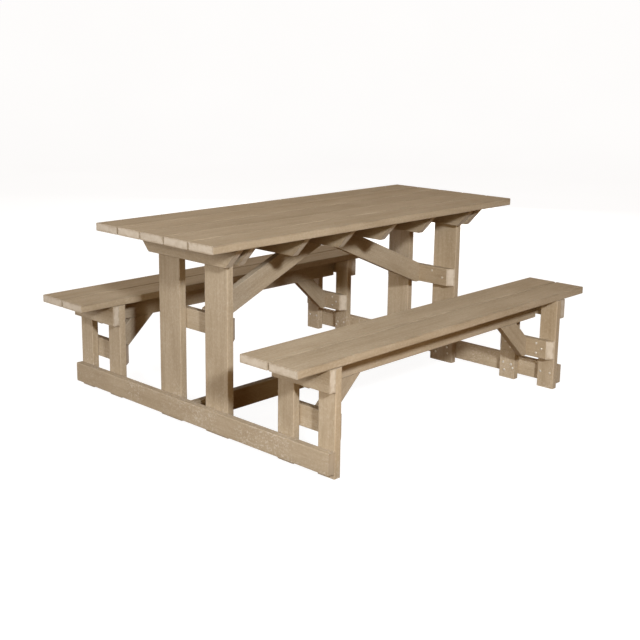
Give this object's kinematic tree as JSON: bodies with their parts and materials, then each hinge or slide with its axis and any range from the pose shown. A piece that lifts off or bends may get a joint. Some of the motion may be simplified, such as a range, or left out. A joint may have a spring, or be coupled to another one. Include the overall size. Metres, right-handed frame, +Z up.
{
  "type": "picnic table",
  "caption": "Walk-in picnic table of recycled-plastic planks: a plank top on two braced leg frames, with a plank bench along each side.",
  "frame": {"origin": "on the ground under the middle of the top", "axes": "+X from the table towards the right bench, +Y along the table, +Z up"},
  "size_m": [1.473, 1.79, 0.77],
  "materials": {
    "top": "through-coloured recycled-plastic lumber, matt, with a drawn wood grain",
    "seat": "through-coloured recycled-plastic lumber, matt, with a drawn wood grain",
    "leg": "through-coloured recycled-plastic lumber, matt, with a drawn wood grain",
    "rail": "through-coloured recycled-plastic lumber, matt, with a drawn wood grain",
    "bearer": "through-coloured recycled-plastic lumber, matt, with a drawn wood grain",
    "brace": "through-coloured recycled-plastic lumber, matt, with a drawn wood grain",
    "screw": "brushed stainless steel"
  },
  "bodies": {
    "root": {"top_board_1": "top", "top_board_2": "top", "top_board_3": "top", "top_board_4": "top", "top_board_5": "top", "seat_board_left_1": "seat", "seat_board_left_2": "seat", "seat_board_right_1": "seat", "seat_board_right_2": "seat", "top_bearer_1": "bearer", "top_bearer_2": "bearer", "top_bearer_3": "bearer", "top_bearer_4": "bearer", "top_bearer_5": "bearer", "top_bearer_6": "bearer", "top_bearer_7": "bearer", "top_bearer_8": "bearer", "table_leg_left_near": "leg", "table_leg_left_far": "leg", "table_leg_right_near": "leg", "table_leg_right_far": "leg", "bench_leg_inner_left_near": "leg", "bench_leg_inner_left_far": "leg", "bench_leg_inner_right_near": "leg", "bench_leg_inner_right_far": "leg", "bench_leg_outer_left_near": "leg", "bench_leg_outer_left_far": "leg", "bench_leg_outer_right_near": "leg", "bench_leg_outer_right_far": "leg", "foot_rail_near": "rail", "foot_rail_far": "rail", "seat_bearer_left_near": "bearer", "seat_bearer_left_far": "bearer", "seat_bearer_right_near": "bearer", "seat_bearer_right_far": "bearer", "table_mid_rail_near": "rail", "table_mid_rail_far": "rail", "bench_mid_rail_left_near": "rail", "bench_mid_rail_left_far": "rail", "bench_mid_rail_right_near": "rail", "bench_mid_rail_right_far": "rail", "low_stretcher": "rail", "seat_rail_left": "rail", "seat_rail_right": "rail", "table_brace_near": "brace", "table_brace_far": "brace", "bench_brace_left_near": "brace", "bench_brace_left_far": "brace", "bench_brace_right_near": "brace", "bench_brace_right_far": "brace", "rail_screw_left_near_1": "screw", "rail_screw_left_near_2": "screw", "rail_screw_left_far_1": "screw", "rail_screw_left_far_2": "screw", "rail_screw_right_near_1": "screw", "rail_screw_right_near_2": "screw", "rail_screw_right_far_1": "screw", "rail_screw_right_far_2": "screw"}
  },
  "joints": []
}
